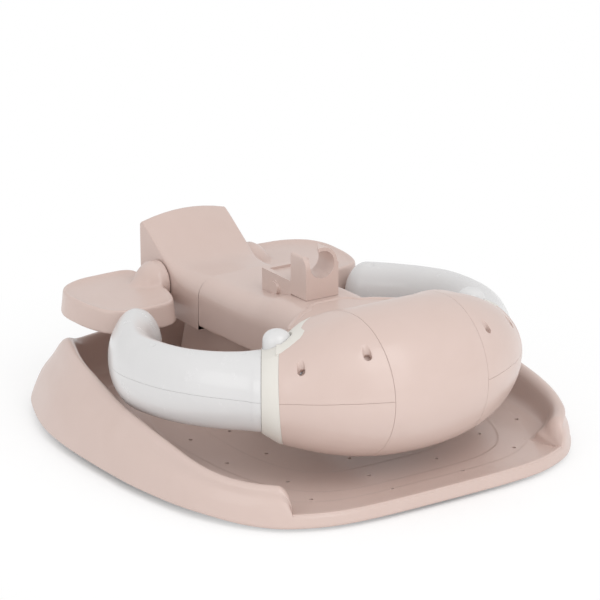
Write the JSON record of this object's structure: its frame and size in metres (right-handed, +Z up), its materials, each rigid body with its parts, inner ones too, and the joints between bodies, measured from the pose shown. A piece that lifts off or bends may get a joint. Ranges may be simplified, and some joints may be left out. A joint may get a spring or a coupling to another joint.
{
  "type": "baby bath seat",
  "caption": "Baby bath seat with a rimmed drain tray, saddle and back rest, padded-looking front bumper, lifting side arms, fold-up seat wings and a hand shower hook.",
  "frame": {"origin": "on the surface it stands on, under the middle of its outline", "axes": "+Z up, front bumper towards -Y, +X to the seat's right as seen by someone facing +Y"},
  "size_m": [0.428, 0.466, 0.1773],
  "materials": {
    "shell_pink": "satin dusty pink moulded plastic with a fine spark-eroded grain",
    "arm_white": "glossy cool white moulded plastic",
    "collar_white": "matte off-white moulded plastic",
    "frame_nylon": "plain natural moulded plastic, hidden",
    "screw_steel": "stainless steel",
    "foot_rubber": "soft translucent grey silicone rubber"
  },
  "bodies": {
    "base": {"base_tray": "shell_pink", "seat_pedestal": "shell_pink", "seat_chassis": "frame_nylon", "saddle_shell": "shell_pink", "back_shell": "shell_pink", "wing_axle": "screw_steel", "bumper_centre_cover": "shell_pink", "bumper_left_upper_shell": "shell_pink", "bumper_left_lower_shell": "shell_pink", "bumper_right_upper_shell": "shell_pink", "bumper_right_lower_shell": "shell_pink", "bumper_frame": "frame_nylon", "shower_holder": "shell_pink", "suction_foot_front_left": "foot_rubber", "suction_foot_front_right": "foot_rubber", "suction_foot_rear_left": "foot_rubber", "suction_foot_rear_right": "foot_rubber", "pedestal_screw_1": "screw_steel", "pedestal_screw_2": "screw_steel", "pedestal_screw_3": "screw_steel", "pedestal_screw_4": "screw_steel", "left_collar": "collar_white", "left_button_spring": "screw_steel", "bumper_screw_left_outer": "screw_steel", "bumper_screw_left_inner": "screw_steel", "right_collar": "collar_white", "right_button_spring": "screw_steel", "bumper_screw_right_outer": "screw_steel", "bumper_screw_right_inner": "screw_steel"},
    "left_arm": {"left_arm_upper_shell": "arm_white", "left_arm_lower_shell": "arm_white"},
    "left_button": {"left_release_button": "arm_white"},
    "left_wing": {"left_wing_pad": "shell_pink", "left_wing_base": "shell_pink"},
    "right_arm": {"right_arm_upper_shell": "arm_white", "right_arm_lower_shell": "arm_white"},
    "right_button": {"right_release_button": "arm_white"},
    "right_wing": {"right_wing_pad": "shell_pink", "right_wing_base": "shell_pink"}
  },
  "joints": [
    {"name": "left_arm_lift", "type": "hinge", "parent": "base", "child": "left_arm", "pos_m": [-0.1012, -0.132, 0.092], "axis": [0.8387, -0.5446, 0], "range_deg": [0, 90]},
    {"name": "left_button_press", "type": "slide", "parent": "base", "child": "left_button", "axis": [0, 0, -1], "range_m": [0, 0.003], "stiffness_N_per_m": 400, "springref_m": -0.002, "deforming": ["left_button_spring"]},
    {"name": "left_wing_fold", "type": "hinge", "parent": "base", "child": "left_wing", "pos_m": [-0.055, 0.161, 0.0995], "axis": [-1, 0, 0], "range_deg": [0, 80]},
    {"name": "right_arm_lift", "type": "hinge", "parent": "base", "child": "right_arm", "pos_m": [0.1012, -0.132, 0.092], "axis": [0.8387, 0.5446, 0], "range_deg": [0, 90]},
    {"name": "right_button_press", "type": "slide", "parent": "base", "child": "right_button", "axis": [0, 0, -1], "range_m": [0, 0.003], "stiffness_N_per_m": 400, "springref_m": -0.002, "deforming": ["right_button_spring"]},
    {"name": "right_wing_fold", "type": "hinge", "parent": "base", "child": "right_wing", "pos_m": [0.055, 0.161, 0.0995], "axis": [-1, 0, 0], "range_deg": [0, 80]}
  ]
}
